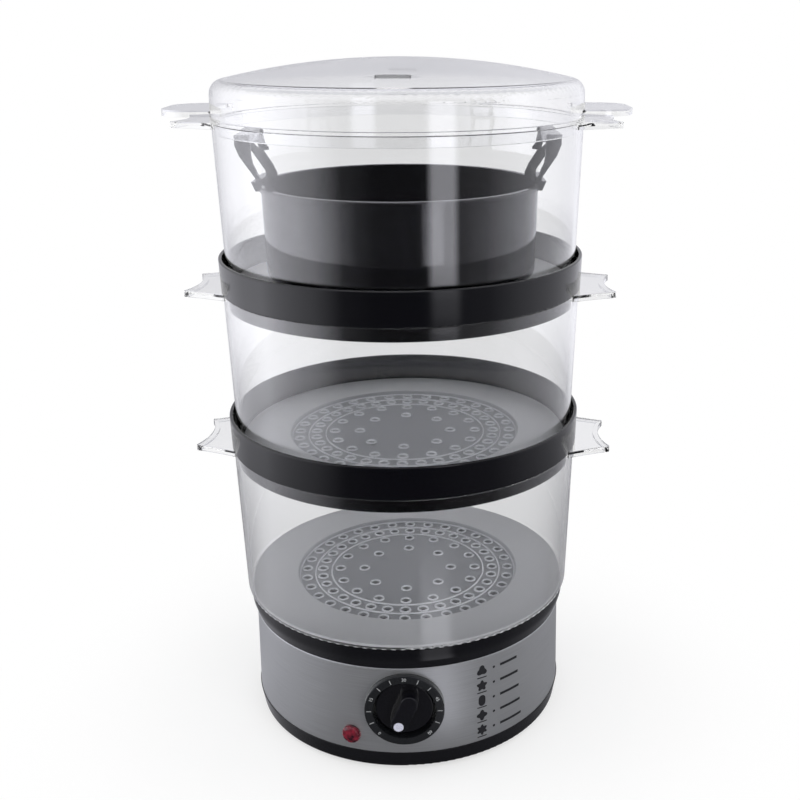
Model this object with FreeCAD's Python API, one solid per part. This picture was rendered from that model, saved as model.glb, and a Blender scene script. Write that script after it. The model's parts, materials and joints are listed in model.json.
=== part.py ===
"""Electric food steamer: a heated base, three stacked baskets, a rice bowl and a lid.

Millimetres, +Z up. The origin is on the floor under the centre of the base, -Y is the
front with the timer, and the basket handles point along X. Every piece is one node in parts/.
"""
import FreeCAD, Part
import math
import os

Vec = FreeCAD.Vector
UP = Vec(0, 0, 1)
FRONT = Vec(0, -1, 0)

# ---- driving sizes: clearances -------------------------------------------------------------
SEAT_GAP = 0.4          # radial play of a piece that is fixed in its seat
NEST_GAP = 0.9          # radial play of a loose piece in the one below it
SHAFT_GAP = 0.05        # radial running fit of the timer shaft
BAND_GAP = 0.05         # between the curved band and the pieces that lie on it
THREAD = 0.3            # a screw shank is this much thinner than its clearance hole, in radius
EDGE = 0.4              # round on a thin moulded edge
SOFT_EDGE = 0.8         # round on a thicker moulded edge

# ---- driving sizes: base -------------------------------------------------------------------
FOOT_STAND = 2.0        # the rubber feet hold the base this far off the table
FOOT_R = 7.0
FOOT_STEM_R = 2.9
FOOT_SET_IN = 23.5      # centres of the feet inside the widest line of the skirt
FOOT_ANGLE = 45.0       # first foot and first screw, counted from +X
FOOT_COUNT = 4
BASE_R = 98.5           # widest line of the black skirt under the steel band
SKIRT_FLARE = 1.8       # the skirt is this much narrower at the table
SKIRT_H = 10.3
BAND_H = 56.6
BAND_SET_BACK = 0.5     # foot of the band inside the widest line of the skirt
BAND_TAPER = 0.9        # the band is this much narrower at its top
BAND_T = 0.5
BAND_BEAD_R = 0.6       # rolled bead along the top edge of the band
BASE_WALL = 2.4
DECK_T = 2.6
TANK_SET_IN = 14.5      # wall of the water tank inside the widest line of the skirt
TANK_TIMER_GAP = 2.6    # room between the timer and the flat front wall of the tank
TANK_DEPTH = 39.0
TANK_CORNER_R = 9.0
COVER_T = 2.2
VENT_LENGTH = 30.0
VENT_W = 3.0
VENT_PITCH = 8.0
VENT_COUNT = 5
SCREW_R = 1.5
SCREW_HEAD_R = 3.0
SCREW_LENGTH = 14.0
BOSS_R = 3.9
BOSS_SET_IN = 8.6       # centres of the screw bosses inside the widest line of the skirt

# ---- driving sizes: heater -----------------------------------------------------------------
HEATER_DOME_R = 27.0
HEATER_FLANGE_W = 10.0
HEATER_DOME_H = 8.0
HEATER_SHEET = 0.8
HEATER_SHOULDER_R = 3.0
HEATER_FOOT_R = 1.2
GASKET_T = 1.2
CLAMP_T = 1.6
HEATER_BOLT_SET_IN = 4.0    # centres of the bolts inside the edge of the flange
HEATER_BOLT_R = 1.5
HEATER_BOLT_HEAD_R = 2.9
HEATER_BOLT_COUNT = 3
ELEMENT_SET_IN = 8.0    # middle of the element's loop inside the dome
ELEMENT_TUBE_R = 3.6
TERMINAL_R = 2.2
TERMINAL_DROP = 15.0
THERMOSTAT_R = 8.5
THERMOSTAT_H = 6.5
THERMOSTAT_TAG = (0.8, 6.0, 8.0)
THERMOSTAT_TAG_X = 5.0
FUSE_R = 2.2
FUSE_LENGTH = 18.0
BOOSTER_GAP = 6.0       # between the heater's flange and the outside of the booster ring
BOOSTER_H = 27.0
BOOSTER_WALL = 2.0
BOOSTER_TAPER = 3.0     # the booster ring is this much narrower at its top
BOOSTER_NOTCH_W = 12.0
BOOSTER_NOTCH_H = 6.0
BOOSTER_NOTCH_COUNT = 4

# ---- driving sizes: timer and pilot light --------------------------------------------------
DIAL_Z = 42.3
DIAL_R = 23.3
DIAL_PROUD = 2.2        # face of the dial ring in front of the band
DIAL_FACE_W = 4.8       # width of the printed face round the knob
DIAL_OVERLAP = 1.5      # the face covers the edge of its hole by this much
DIAL_DEPTH = 10.2       # from the face of the ring back to the timer
DIAL_FLOOR_T = 1.8
KNOB_GAP = 1.6          # between the knob and the ring round it
KNOB_T = 3.6
KNOB_BORE_DEPTH = 7.0
KNOB_SET_BACK = 3.0     # knob disc behind the face of the dial ring
GRIP_LENGTH = 25.6
GRIP_W = 11.0
GRIP_TAPER = 0.5        # the grip is this much narrower at its face, each side
GRIP_H = 7.4
GRIP_EDGE_R = 0.7
POINTER_R = 2.9
POINTER_REACH = 8.5
POINTER_DEPTH = 0.8     # the inlay is let in this deep and stands a little proud
POINTER_PROUD = 0.1
POINTER_ANGLE = 203.5    # the pointer rests before zero, clockwise from the top
SHAFT_R = 3.0
SHAFT_LENGTH = 27.0
TIMER_W = 38.0
TIMER_H = 38.0
TIMER_T = 24.0
TIMER_CORNER_R = 4.0
GONG_R = 16.0
GONG_T = 4.0
TIMER_SCREW_SPACING = 27.0
TIMER_SCREW_R = 1.5
TIMER_SCREW_HEAD_R = 2.6
TIMER_SCREW_HEAD_H = 1.2
TIMER_SCREW_LENGTH = 8.0
LENS_ANGLE = 18.8       # degrees to the left of the timer
LENS_Z = 22.5
LENS_R = 5.75
LENS_BARREL_R = 4.4
LENS_PROUD = 3.2
LENS_ROUND = 2.6
LENS_BARREL_LENGTH = 9.0
LAMP_R = 2.8
LAMP_LENGTH = 12.0
LAMP_HOLDER_WALL = 1.2
GLAND_Z = 22.0
GLAND_BORE_R = 3.6
GLAND_BARREL_R = 5.6
GLAND_FLANGE_R = 8.0
GLAND_FLANGE_T = 2.4
GLAND_LENGTH = 13.0
BLOCK_SIZE = (30.0, 14.0, 12.0)
BLOCK_SET_IN = 46.5     # middle of the block inside the widest line of the skirt
BLOCK_Y = 44.0
BLOCK_PORT_R = 2.0
BLOCK_PORT_COUNT = 3

# ---- driving sizes: drip tray --------------------------------------------------------------
TRAY_RISE = 14.1        # black collar seen between the band and the lower basket
TRAY_SET_IN = 1.9       # the collar is this much narrower than the foot of the basket
TRAY_BULGE_ROUND = 9.0
TRAY_TOP_TAPER = 0.3
TRAY_WALL = 2.0
TRAY_FLOOR_GAP = 1.5    # underside of the trough above the deck of the base
TROUGH_TAPER = 1.6      # the trough is this much narrower at its floor
CHIMNEY_R = 31.0
CHIMNEY_TOP_R = 27.0
CHIMNEY_H = 8.6
TRAY_RIB_H = 0.4        # rib that centres the basket
DECK_RIB_H = 1.1        # rib on the deck that centres the tray
DECK_RIB_W = 1.4

# ---- driving sizes: baskets and connecting rings -------------------------------------------
BASKET_H = 94.2
BASKET_TOP_R = 104.8
BASKET_TAPER = 3.0      # the basket is this much narrower at its foot
BASKET_WALL = 1.8
BASKET_EDGE_R = 2.4
LEDGE_W = 8.2           # ledge that carries the floor plate, with the wall above it
LEDGE_T = 1.2
PLATE_T = 1.6
PLATE_SINK = 2.6        # the perforated middle lies this much lower than the border
PLATE_STEP_R = 70.4
PLATE_STEP_SLOPE = 1.2
HOLE_R = 2.3
HOLE_RING_R = (65.0, 54.8, 43.5, 28.0)
HOLE_RING_COUNT = (32, 32, 16, 8)
RIB_R = 59.4            # raised circle between the outer rings of holes
RIB_W = 0.8
RIB_H = 0.5
HANDLE_TURN_ANGLE = -2.0    # the baskets stand turned by this much, as in the photograph
HANDLE_REACH = 20.6     # tips of the handle beyond the rim of the basket
HANDLE_TIP_Y = 23.0
HANDLE_NOTCH_REACH = 15.4
HANDLE_ROOT_SINK = 4.8  # the sides of the handle meet the wall this far inside its widest line
HANDLE_ROOT_Y = 34.0
HANDLE_WAIST = 0.5      # the sides curve in by this much
HANDLE_T = 1.8
HANDLE_LIP_H = 3.4
HANDLE_LIP_W = 1.4
HANDLE_NOTCH_LIP = 1.6  # the lip is this much wider along the notch
HANDLE_CORNER_R = 1.2
RING_LIP_H = 19.6
RING_ROOM = 1.8         # radial room between the lip and the basket that stands in it
RING_OVERHANG = 0.9     # the ring reaches this far beyond the rim of the basket below
RING_WEB_T = 1.2
RING_WALL = 2.1
RING_LEDGE_W = 9.8      # ledge under the foot of the basket that stands in the ring
RING_FLANGE_H = 8.0
RING_FLANGE_T = 1.6

# ---- driving sizes: rice bowl --------------------------------------------------------------
BOWL_H = 56.2
BOWL_FOOT_H = 1.5
BOWL_FOOT_W = 2.0
BOWL_TOP_R = 79.8
BOWL_TAPER = 1.2        # the bowl is this much narrower at its bottom
BOWL_WALL = 2.2
BOWL_EDGE_R = 6.0
BOWL_RIM_W = 1.4
BOWL_RIM_T = 3.0
BOWL_HANDLE_W = 40.0
BOWL_LEG_W = 4.0        # width of the round rib that edges each leg
BOWL_WEB_T = 2.0        # the web inside the rib is thinner
BOWL_RIB_DEPTH = 2.8
BOWL_BASE_REACH = 3.0   # the root of the handle stands this far out of the bowl
BOWL_BASE_DROP = 3.0    # the root of the handle reaches this far below the rim
BOWL_BASE_RISE = 2.2    # and stands this far above it
BOWL_BAR_T = 5.0
BOWL_LEG_LINE = (       # outer line of a leg: reach beyond the bowl and height over its rim
    (-0.2, -1.8), (0.6, 4.4), (5.1, 11.0), (8.6, 16.2), (11.0, 22.4), (11.0, 28.0))
BOWL_FRONT_WEB = (      # inner line of the web of the front leg, from the root upwards
    (-2.4, 0.0), (-0.2, 8.4), (1.6, 12.0), (2.4, 17.0), (2.4, 28.0))
BOWL_BACK_WEB = (       # the same for the back leg, which ends in a hook
    (-6.2, -1.0), (-6.2, 2.6), (-3.8, 7.8), (-1.4, 11.4), (1.2, 15.6), (-1.9, 16.0),
    (-1.9, 17.2), (0.4, 20.0), (2.0, 28.0))
BOWL_HOOK_EYE = ((3.6, 16.6), (6.8, 19.6), (4.4, 20.0))

# ---- driving sizes: lid --------------------------------------------------------------------
LID_H = 33.5
LID_OVERHANG = 0.4      # the lid is this much wider than the rim of the basket
LID_TAPER = 0.9         # and this much narrower again at its shoulder
LID_DOME_RISE = 12.6
LID_FILLET_R = 8.0
LID_WALL = 1.8
LID_FLANGE_H = 6.0
LID_HANDLE_Z = 3.0      # underside of the lid handles above its rim
LID_HANDLE_H = 3.6
LID_HANDLE_REACH = 25.8     # beyond the rim of the lid
LID_HANDLE_W = 58.0
LID_HANDLE_CORNER_R = 18.0
SLOT_L = 18.4
SLOT_W = 6.4
SLOT_SET_IN = 27.3      # middle of a steam slot inside the shoulder of the lid

# ---- sizes and levels that follow ----------------------------------------------------------
SKIRT_BOTTOM_R = BASE_R - SKIRT_FLARE
BAND_BOTTOM_R = BASE_R - BAND_SET_BACK
BAND_TOP_R = BAND_BOTTOM_R - BAND_TAPER
TANK_R = BASE_R - TANK_SET_IN
FOOT_CIRCLE_R = BASE_R - FOOT_SET_IN
BOSS_CIRCLE_R = BASE_R - BOSS_SET_IN
HEATER_FLANGE_R = HEATER_DOME_R + HEATER_FLANGE_W
HEATER_BOLT_CIRCLE_R = HEATER_FLANGE_R - HEATER_BOLT_SET_IN
BOOSTER_R = HEATER_FLANGE_R + BOOSTER_GAP
DIAL_WELL_R = DIAL_R - DIAL_FACE_W
DIAL_BARREL_R = DIAL_R - DIAL_OVERLAP
KNOB_R = DIAL_WELL_R - KNOB_GAP
BASKET_BOTTOM_R = BASKET_TOP_R - BASKET_TAPER
BASKET_BORE_R = BASKET_TOP_R - BASKET_WALL
LEDGE_R = BASKET_BOTTOM_R - LEDGE_W
NEST_R = BASKET_BORE_R - NEST_GAP
BOWL_BOTTOM_R = BOWL_TOP_R - BOWL_TAPER
LID_RIM_R = BASKET_TOP_R + LID_OVERHANG
LID_SHOULDER_R = LID_RIM_R - LID_TAPER
SKIRT_TOP_Z = FOOT_STAND + SKIRT_H
DECK_Z = SKIRT_TOP_Z + BAND_H
TANK_FLOOR_Z = DECK_Z - TANK_DEPTH
TRAY_TOP_Z = DECK_Z + TRAY_RISE
TRAY_FOOT_R = BAND_TOP_R + BAND_BEAD_R - 2 * TRAY_WALL
LOWER_BASKET_Z = TRAY_TOP_Z
LOWER_RING_Z = LOWER_BASKET_Z + BASKET_H
MIDDLE_BASKET_Z = LOWER_RING_Z + RING_WEB_T
UPPER_RING_Z = MIDDLE_BASKET_Z + BASKET_H
UPPER_BASKET_Z = UPPER_RING_Z + RING_WEB_T
LID_Z = UPPER_BASKET_Z + BASKET_H
BOWL_Z = UPPER_BASKET_Z + LEDGE_T + PLATE_T
BOWL_RIM_Z = BOWL_Z + BOWL_H
DIAL_Y = BAND_BOTTOM_R + DIAL_PROUD
TIMER_FRONT_Y = DIAL_Y - DIAL_DEPTH
KNOB_FACE_Y = DIAL_Y - KNOB_SET_BACK
TANK_FLAT_Y = TIMER_FRONT_Y - TIMER_T - GONG_T - TANK_TIMER_GAP - BASE_WALL


def polar(radius, degrees, z=0.0):
    """Point at a radius and angle about the Z axis, the angle counted from +X."""
    angle = math.radians(degrees)
    return Vec(radius * math.cos(angle), radius * math.sin(angle), z)


def rounded_wire(corners, place):
    """Closed wire through corners (a, b, radius), each rounded by a tangent arc."""
    points = [Vec(a, b, 0) for a, b, radius in corners]
    spans = []
    for i, (a, b, radius) in enumerate(corners):
        here = points[i]
        back = (points[i - 1] - here).normalize()
        ahead = (points[(i + 1) % len(points)] - here).normalize()
        if radius == 0:
            spans.append((here, None, here))
            continue
        half = back.getAngle(ahead) / 2
        reach = radius / math.tan(half)
        middle = (back + ahead).normalize() * (radius / math.sin(half) - radius)
        spans.append((here + back * reach, here + middle, here + ahead * reach))
    edges = []
    for i, (start, middle, end) in enumerate(spans):
        if middle is not None:
            edges.append(Part.Arc(place(start), place(middle), place(end)).toShape())
        following = spans[(i + 1) % len(spans)][0]
        if end.distanceToPoint(following) > 1e-6:
            edges.append(Part.LineSegment(place(end), place(following)).toShape())
    return Part.Wire(Part.__sortEdges__(edges))


def turned(corners):
    """Solid of revolution about Z from a profile of (radius, height, corner radius)."""
    wire = rounded_wire(corners, lambda p: Vec(p.x, 0, p.y))
    return Part.Face(wire).revolve(Vec(0, 0, 0), UP, 360)


def plate(corners, z, thickness):
    """Flat plate of a given thickness, its outline given as (x, y, corner radius)."""
    wire = rounded_wire(corners, lambda p: Vec(p.x, p.y, z))
    return Part.Face(wire).extrude(Vec(0, 0, thickness))


def rod(radius, start, axis, length):
    """Round rod from a start point along an axis."""
    return Part.makeCylinder(radius, length, start, axis)


def tube(outer, inner, z, height):
    """Upright tube on the Z axis."""
    return rod(outer, Vec(0, 0, z), UP, height).cut(rod(inner, Vec(0, 0, z), UP, height))


def around(shape, count, first=0.0):
    """Copies of a shape, evenly spaced about the Z axis."""
    copies = []
    for i in range(count):
        copy = shape.copy()
        copy.rotate(Vec(0, 0, 0), UP, first + i * 360.0 / count)
        copies.append(copy)
    return copies


def both_sides(shape):
    """A shape that points along +X, with its twin that points along -X."""
    return around(shape, 2)


def band_radius(z):
    """Outer radius of the steel band at a height."""
    return BAND_BOTTOM_R + (BAND_TOP_R - BAND_BOTTOM_R) * (z - SKIRT_TOP_Z) / BAND_H


def band_core(inset):
    """Solid inside the outer face of the band, drawn in by an inset."""
    return Part.makeCone(BAND_BOTTOM_R - inset, BAND_TOP_R - inset, BAND_H, Vec(0, 0, SKIRT_TOP_Z))


# ---- base ----------------------------------------------------------------------------------

def tank_outline(grow, z, height):
    """Round tank with a flat front wall, grown outwards all round."""
    radius = TANK_R + grow
    flat = TANK_FLAT_Y + grow
    body = rod(radius, Vec(0, 0, z), UP, height)
    front = Part.makeBox(2 * radius, radius, height, Vec(-radius, -flat - radius, z))
    body = body.cut(front)
    uprights = [e for e in body.Edges if abs(abs(e.tangentAt(e.FirstParameter).z) - 1) < 1e-6
                and abs(e.CenterOfMass.y + flat) < 1e-3]
    return body.makeFillet(TANK_CORNER_R + grow, uprights)


def housing_wall():
    """Outer wall with the flared skirt and the step that carries the band."""
    outer_low = BAND_BOTTOM_R - BAND_T - SEAT_GAP
    outer_high = BAND_TOP_R - BAND_T - SEAT_GAP
    return turned([
        (SKIRT_BOTTOM_R - BASE_WALL, FOOT_STAND, EDGE),
        (SKIRT_BOTTOM_R, FOOT_STAND, SOFT_EDGE),
        (BASE_R, SKIRT_TOP_Z, EDGE / 2),
        (outer_low, SKIRT_TOP_Z, 0),
        (outer_high, DECK_Z, 0),
        (outer_high - BASE_WALL, DECK_Z, 0),
        (outer_low - BASE_WALL, SKIRT_TOP_Z, 0),
    ])


def wall_openings():
    """Drills through the housing wall and the band for the dial, the lens and the cord."""
    reach = BASE_R - TANK_R + LENS_PROUD
    dial = rod(DIAL_BARREL_R + SEAT_GAP, Vec(0, -TANK_R, DIAL_Z), FRONT, reach)
    lens_r = LENS_BARREL_R + SEAT_GAP / 2
    lens_axis = polar(1, -90 - LENS_ANGLE)
    lens = rod(lens_r, lens_axis * TANK_R + UP * LENS_Z, lens_axis, reach)
    cord = rod(GLAND_BARREL_R + SEAT_GAP / 2, Vec(0, TANK_R, GLAND_Z), -FRONT, reach)
    return [dial, lens, cord]


def base_housing():
    """Black moulding: skirt, outer wall, deck and the water tank, open underneath."""
    deck_r = BAND_TOP_R - BAND_T - SEAT_GAP - BASE_WALL / 2
    deck = rod(deck_r, Vec(0, 0, DECK_Z - DECK_T), UP, DECK_T)
    tub = tank_outline(BASE_WALL, TANK_FLOOR_Z - BASE_WALL, TANK_DEPTH + BASE_WALL)
    boss_z = FOOT_STAND + COVER_T
    boss = rod(BOSS_R, Vec(BOSS_CIRCLE_R, 0, boss_z), UP, DECK_Z - DECK_T - boss_z)
    pilot = rod(SCREW_R - THREAD, Vec(BOSS_CIRCLE_R, 0, boss_z), UP, SCREW_LENGTH)
    rib_r = TRAY_FOOT_R - SEAT_GAP
    rib = tube(rib_r, rib_r - DECK_RIB_W, DECK_Z, DECK_RIB_H)
    body = housing_wall().fuse([deck, tub, rib] + around(boss, FOOT_COUNT, FOOT_ANGLE))
    heater_hole = rod(HEATER_DOME_R + 2 * HEATER_SHEET, Vec(0, 0, 0), UP, DECK_Z)
    bolt_hole = rod(HEATER_BOLT_R + SEAT_GAP / 2, Vec(HEATER_BOLT_CIRCLE_R, 0, 0), UP, DECK_Z)
    cuts = [tank_outline(0, TANK_FLOOR_Z, TANK_DEPTH), heater_hole]
    cuts += around(pilot, FOOT_COUNT, FOOT_ANGLE) + around(bolt_hole, HEATER_BOLT_COUNT, 90)
    return body.cut(cuts + wall_openings())


def steel_band():
    """Brushed steel band with a rolled bead on top and openings for dial, lens and cord."""
    bead_z = DECK_Z - BAND_BEAD_R
    sheet = band_core(0).cut(band_core(BAND_T))
    bead = Part.makeTorus(BAND_TOP_R, BAND_BEAD_R, Vec(0, 0, bead_z))
    inner = rod(BAND_TOP_R - BAND_T, Vec(0, 0, bead_z - BAND_BEAD_R), UP, 2 * BAND_BEAD_R)
    return sheet.fuse(bead.cut(inner)).cut(wall_openings())


def bottom_cover():
    """Flat cover that closes the base, with vent slots, screw holes and foot holes."""
    radius = SKIRT_BOTTOM_R - BASE_WALL - SEAT_GAP
    cover = rod(radius, Vec(0, 0, FOOT_STAND), UP, COVER_T)
    foot = rod(FOOT_STEM_R + SEAT_GAP / 2, Vec(FOOT_CIRCLE_R, 0, 0), UP, FOOT_STAND + COVER_T)
    screw = rod(SCREW_R + SEAT_GAP / 2, Vec(BOSS_CIRCLE_R, 0, 0), UP, FOOT_STAND + COVER_T)
    vents = []
    for i in range(VENT_COUNT):
        x = (i - (VENT_COUNT - 1) / 2) * VENT_PITCH
        half_w = VENT_W / 2
        half_l = VENT_LENGTH / 2
        corners = [(x - half_w, -half_l, 0), (x + half_w, -half_l, 0),
                   (x + half_w, half_l, 0), (x - half_w, half_l, 0)]
        vents.append(plate(corners, FOOT_STAND, COVER_T))
    holes = around(foot, FOOT_COUNT, FOOT_ANGLE) + around(screw, FOOT_COUNT, FOOT_ANGLE)
    return cover.cut(holes + vents)


def rubber_feet():
    """Rubber feet, each with a stem pushed through the cover."""
    pad = turned([(0, 0, 0), (FOOT_R - SOFT_EDGE, 0, EDGE), (FOOT_R, FOOT_STAND, 0), (0, FOOT_STAND, 0)])
    stem = rod(FOOT_STEM_R, Vec(0, 0, FOOT_STAND), UP, COVER_T)
    foot = pad.fuse(stem)
    foot.translate(Vec(FOOT_CIRCLE_R, 0, 0))
    return Part.makeCompound(around(foot, FOOT_COUNT, FOOT_ANGLE))


def screw_with_head(radius, length, head_radius, head_height, start, axis):
    """Pan-head screw: its head ends at the start point and its shank runs along the axis."""
    shank = rod(radius, start, axis, length)
    head = rod(head_radius, start - axis * head_height, axis, head_height)
    return shank.fuse(head)


def cover_screws():
    """Screws that hold the bottom cover to the bosses of the housing."""
    start = Vec(BOSS_CIRCLE_R, 0, FOOT_STAND)
    length = COVER_T + SCREW_LENGTH / 2
    screw = screw_with_head(SCREW_R - THREAD, length, SCREW_HEAD_R, FOOT_STAND / 2, start, UP)
    return Part.makeCompound(around(screw, FOOT_COUNT, FOOT_ANGLE))


# ---- heater --------------------------------------------------------------------------------

GASKET_TOP_Z = TANK_FLOOR_Z + GASKET_T
FLANGE_TOP_Z = GASKET_TOP_Z + HEATER_SHEET
CLAMP_TOP_Z = TANK_FLOOR_Z - BASE_WALL


def heater_bolt_holes():
    """Clearance holes for the heater bolts, through the whole heater."""
    hole = rod(HEATER_BOLT_R + SEAT_GAP / 2, Vec(HEATER_BOLT_CIRCLE_R, 0, 0), UP, DECK_Z)
    return around(hole, HEATER_BOLT_COUNT, 90)


def heater_gasket():
    """Silicone ring that seals the heater plate on the tank floor."""
    inner = HEATER_DOME_R + 2 * HEATER_SHEET
    return tube(HEATER_FLANGE_R, inner, TANK_FLOOR_Z, GASKET_T).cut(heater_bolt_holes())


def heater_plate():
    """Pressed stainless dome with a flange, in the middle of the water tank."""
    top = FLANGE_TOP_Z + HEATER_DOME_H
    inner_r = HEATER_DOME_R - HEATER_SHEET
    dome = turned([
        (inner_r, GASKET_TOP_Z, 0),
        (HEATER_FLANGE_R, GASKET_TOP_Z, 0),
        (HEATER_FLANGE_R, FLANGE_TOP_Z, 0),
        (HEATER_DOME_R, FLANGE_TOP_Z, HEATER_FOOT_R),
        (HEATER_DOME_R, top, HEATER_SHOULDER_R),
        (0, top, 0),
        (0, top - HEATER_SHEET, 0),
        (inner_r, top - HEATER_SHEET, HEATER_SHOULDER_R - HEATER_SHEET),
    ])
    return dome.cut(heater_bolt_holes())


def heating_element():
    """Bent tubular element under the dome, with its two terminals."""
    z = FLANGE_TOP_Z + HEATER_DOME_H - HEATER_SHEET - ELEMENT_TUBE_R
    loop_r = HEATER_DOME_R - ELEMENT_SET_IN
    loop = Part.makeTorus(loop_r, ELEMENT_TUBE_R, Vec(0, 0, z))
    side = ELEMENT_TUBE_R + TERMINAL_R
    legs = [rod(TERMINAL_R, Vec(x, loop_r, z - TERMINAL_DROP), UP, TERMINAL_DROP)
            for x in (-side, side)]
    return loop.fuse(legs)


def heater_clamp():
    """Steel ring under the tank floor that draws the heater down on its gasket."""
    inner = HEATER_DOME_R + HEATER_SHEET
    return tube(HEATER_FLANGE_R, inner, CLAMP_TOP_Z - CLAMP_T, CLAMP_T).cut(heater_bolt_holes())


def heater_bolts():
    """Bolts from the flange of the heater plate down into the clamp ring."""
    length = FLANGE_TOP_Z - CLAMP_TOP_Z + 2 * CLAMP_T
    start = Vec(HEATER_BOLT_CIRCLE_R, 0, FLANGE_TOP_Z)
    bolt = screw_with_head(HEATER_BOLT_R, length, HEATER_BOLT_HEAD_R, CLAMP_T, start, -UP)
    return Part.makeCompound(around(bolt, HEATER_BOLT_COUNT, 90))


def thermostat():
    """Boil-dry thermostat held against the middle of the heater plate."""
    top = FLANGE_TOP_Z + HEATER_DOME_H - HEATER_SHEET
    can = rod(THERMOSTAT_R, Vec(0, 0, top - THERMOSTAT_H), UP, THERMOSTAT_H)
    thick, wide, high = THERMOSTAT_TAG
    tags = [Part.makeBox(thick, wide, high, Vec(x - thick / 2, -wide / 2, top - THERMOSTAT_H - high))
            for x in (-THERMOSTAT_TAG_X, THERMOSTAT_TAG_X)]
    return can.fuse(tags)


def thermal_fuse():
    """Thermal fuse in line with the element, clipped under the clamp ring."""
    z = CLAMP_TOP_Z - CLAMP_T - FUSE_R
    start = Vec(HEATER_BOLT_CIRCLE_R, -FUSE_LENGTH / 2, z)
    return rod(FUSE_R, start, -FRONT, FUSE_LENGTH)


def booster_ring():
    """Loose collar that keeps the water round the heater shallow, with notches at its foot."""
    ring = turned([
        (BOOSTER_R - BOOSTER_WALL, TANK_FLOOR_Z, 0),
        (BOOSTER_R, TANK_FLOOR_Z, 0),
        (BOOSTER_R - BOOSTER_TAPER, TANK_FLOOR_Z + BOOSTER_H, SOFT_EDGE),
        (BOOSTER_R - BOOSTER_TAPER - BOOSTER_WALL, TANK_FLOOR_Z + BOOSTER_H, SOFT_EDGE),
    ])
    notch = Part.makeBox(3 * BOOSTER_WALL, BOOSTER_NOTCH_W, BOOSTER_NOTCH_H,
                         Vec(BOOSTER_R - 2 * BOOSTER_WALL, -BOOSTER_NOTCH_W / 2, TANK_FLOOR_Z))
    return ring.cut(around(notch, BOOSTER_NOTCH_COUNT, 45))


# ---- timer, pilot light and cord inlet -----------------------------------------------------

def dial_point(radius, degrees, y):
    """Point on the dial, the angle counted clockwise from the top as the user sees it."""
    angle = math.radians(degrees)
    return Vec(radius * math.sin(angle), -y, DIAL_Z + radius * math.cos(angle))


def dial_bezel():
    """Flat dial ring with a round outer edge, on a cup that holds the timer."""
    flange = rod(DIAL_R, Vec(0, -TIMER_FRONT_Y, DIAL_Z), FRONT, DIAL_DEPTH)
    rim = [e for e in flange.Edges if e.Closed and abs(e.CenterOfMass.y + DIAL_Y) < 1e-3]
    flange = flange.makeFillet(SOFT_EDGE, rim).cut(band_core(-BAND_GAP))
    barrel = rod(DIAL_BARREL_R, Vec(0, -TIMER_FRONT_Y, DIAL_Z), FRONT, DIAL_DEPTH)
    floor_y = TIMER_FRONT_Y + DIAL_FLOOR_T
    well = rod(DIAL_WELL_R, Vec(0, -floor_y, DIAL_Z), FRONT, DIAL_DEPTH)
    shaft_hole = rod(SHAFT_R + SEAT_GAP, Vec(0, -TIMER_FRONT_Y, DIAL_Z), FRONT, DIAL_FLOOR_T)
    holes = [rod(TIMER_SCREW_R + SEAT_GAP / 2, Vec(x, -TIMER_FRONT_Y, DIAL_Z), FRONT, DIAL_FLOOR_T)
             for x in (-TIMER_SCREW_SPACING / 2, TIMER_SCREW_SPACING / 2)]
    return flange.fuse(barrel).cut([well, shaft_hole] + holes)


def grip_profile(inset, y):
    """Stadium outline of the grip, square to the timer shaft."""
    half = GRIP_LENGTH / 2 - inset
    side = GRIP_W / 2 - inset
    left, right = Vec(-side, -y, DIAL_Z), Vec(side, -y, DIAL_Z)
    straight = half - side
    low, high = Vec(0, 0, -straight), Vec(0, 0, straight)
    edges = [
        Part.LineSegment(left + low, left + high).toShape(),
        Part.Arc(left + high, Vec(0, -y, DIAL_Z + half), right + high).toShape(),
        Part.LineSegment(right + high, right + low).toShape(),
        Part.Arc(right + low, Vec(0, -y, DIAL_Z - half), left + low).toShape(),
    ]
    return Part.Wire(edges)


def timer_knob():
    """Knob disc with a raised bar grip, turned so that its pointer rests before zero."""
    disc = rod(KNOB_R, Vec(0, -KNOB_FACE_Y + KNOB_T, DIAL_Z), FRONT, KNOB_T)
    rim = [e for e in disc.Edges if e.Closed and abs(e.CenterOfMass.y + KNOB_FACE_Y) < 1e-3]
    disc = disc.makeFillet(SOFT_EDGE, rim)
    top_y = KNOB_FACE_Y + GRIP_H
    grip = Part.makeLoft([grip_profile(0, KNOB_FACE_Y - EDGE), grip_profile(GRIP_TAPER, top_y)], True)
    face_edges = [e for e in grip.Edges if abs(e.CenterOfMass.y + top_y) < 1e-3]
    grip = grip.makeFillet(GRIP_EDGE_R, face_edges)
    bore = rod(SHAFT_R, Vec(0, -KNOB_FACE_Y + KNOB_T, DIAL_Z), FRONT, KNOB_BORE_DEPTH)
    seat = rod(POINTER_R, pointer_centre() - FRONT * POINTER_DEPTH, FRONT, 2 * POINTER_DEPTH)
    knob = disc.fuse(grip)
    knob.rotate(Vec(0, 0, DIAL_Z), Vec(0, 1, 0), POINTER_ANGLE - 180)
    return knob.cut([bore, seat])


def pointer_centre():
    """Centre of the pointer inlay on the face of the grip."""
    return dial_point(POINTER_REACH, POINTER_ANGLE, KNOB_FACE_Y + GRIP_H)


def pointer_inlay():
    """Pale disc let into the pointer end of the grip."""
    return rod(POINTER_R, pointer_centre() - FRONT * POINTER_DEPTH, FRONT, POINTER_DEPTH + POINTER_PROUD)


def timer_shaft():
    """Shaft of the timer, which carries the knob."""
    tip_y = KNOB_FACE_Y - KNOB_T + KNOB_BORE_DEPTH
    return rod(SHAFT_R, Vec(0, -tip_y + SHAFT_LENGTH, DIAL_Z), FRONT, SHAFT_LENGTH)


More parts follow.
